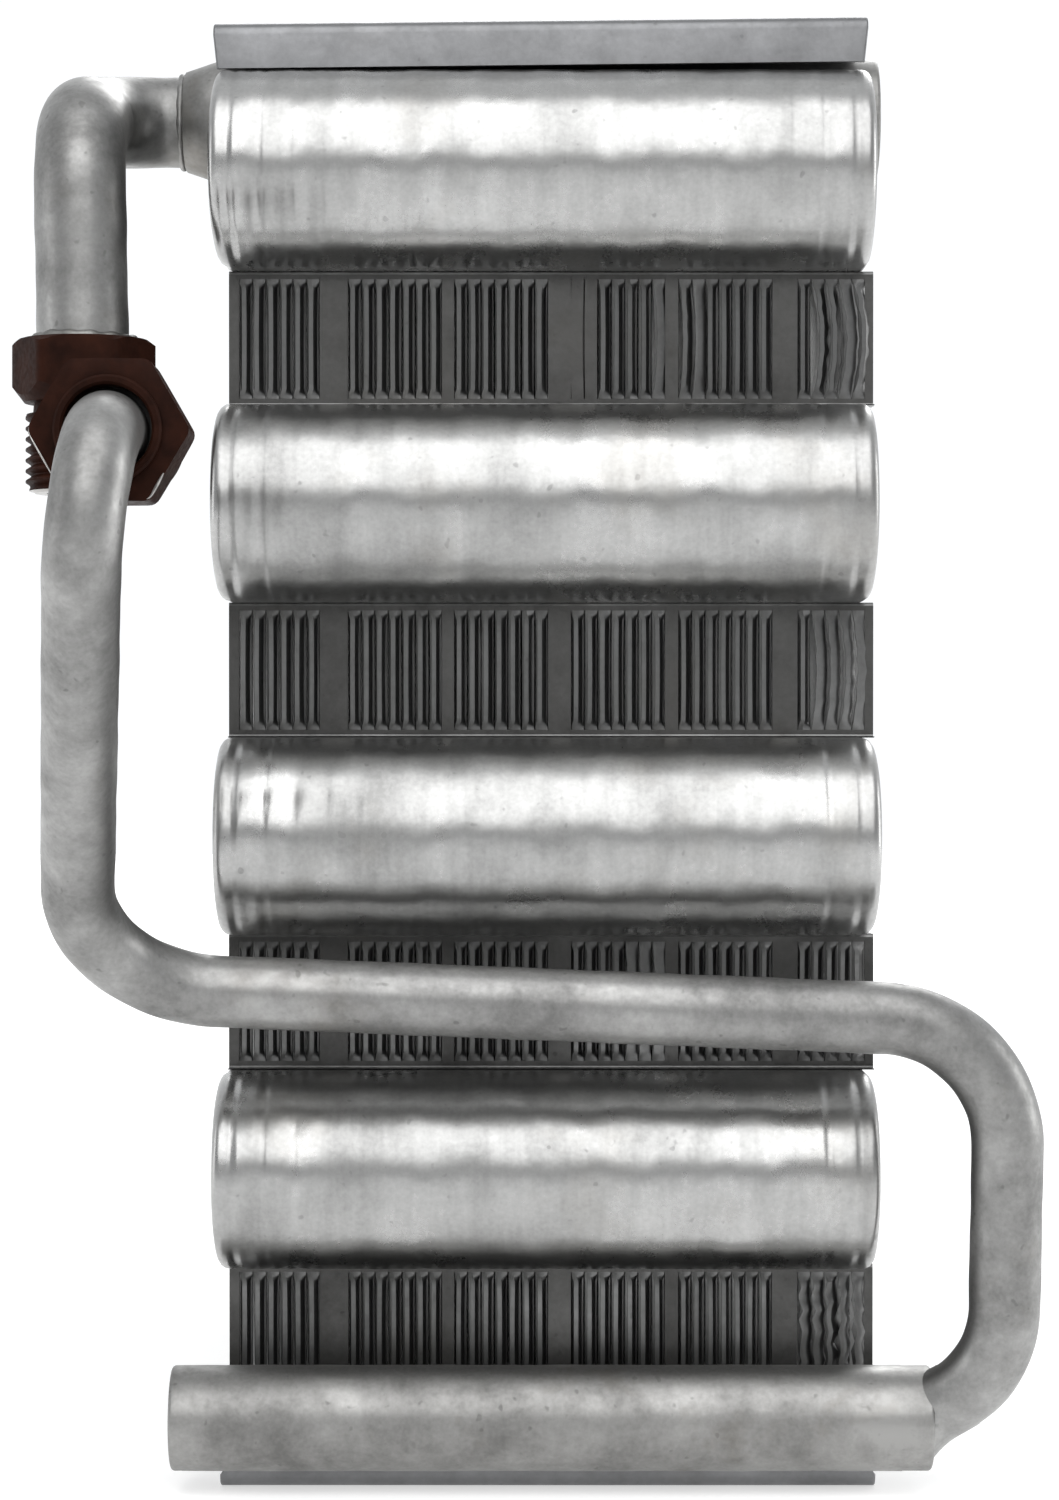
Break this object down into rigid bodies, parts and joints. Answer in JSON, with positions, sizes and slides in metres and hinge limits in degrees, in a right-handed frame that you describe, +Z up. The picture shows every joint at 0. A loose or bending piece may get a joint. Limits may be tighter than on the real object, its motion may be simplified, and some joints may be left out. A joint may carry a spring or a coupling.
{
  "type": "evaporator core",
  "caption": "Serpentine flat-tube evaporator core with corrugated louvred fins, manifolds, bent pipes and two threaded fittings.",
  "frame": {"origin": "centre of the underside of the bottom plate", "axes": "+X to the right as seen from the front, +Y from the front return bends to the back ones, +Z up from the bottom plate to the top plate"},
  "size_m": [0.14, 0.2898, 0.2014],
  "materials": {
    "tube": "bare extruded aluminium, satin with fine pits",
    "fin": "thin bare aluminium sheet, dull after brazing",
    "plate": "bare folded sheet, satin",
    "manifold": "bare drawn tube, stained by flux",
    "pipe": "bare drawn tube, satin",
    "fitting": "dark brown coating, bare metal on the lower edges"
  },
  "bodies": {
    "core": {"flat_tube": "tube", "top_plate": "plate", "bottom_plate": "plate", "outlet_manifold": "manifold", "outlet_manifold_cap": "manifold", "inlet_manifold": "manifold", "inlet_manifold_left_cap": "manifold", "inlet_manifold_right_cap": "manifold", "outlet_pipe": "pipe", "inlet_pipe": "pipe", "outlet_fitting": "fitting", "fin_row_1": "fin", "fin_row_2": "fin", "fin_row_3": "fin", "fin_row_4": "fin", "fin_row_5": "fin", "fin_row_6": "fin", "fin_row_7": "fin", "fin_row_low": "fin", "fin_row_top": "fin"},
    "nut": {"inlet_nut": "fitting"}
  },
  "joints": [
    {"name": "nut_spin", "type": "hinge", "parent": "core", "child": "nut", "pos_m": [-0.054, -0.155, 0.1404], "axis": [0, 1, 0], "continuous": true}
  ]
}
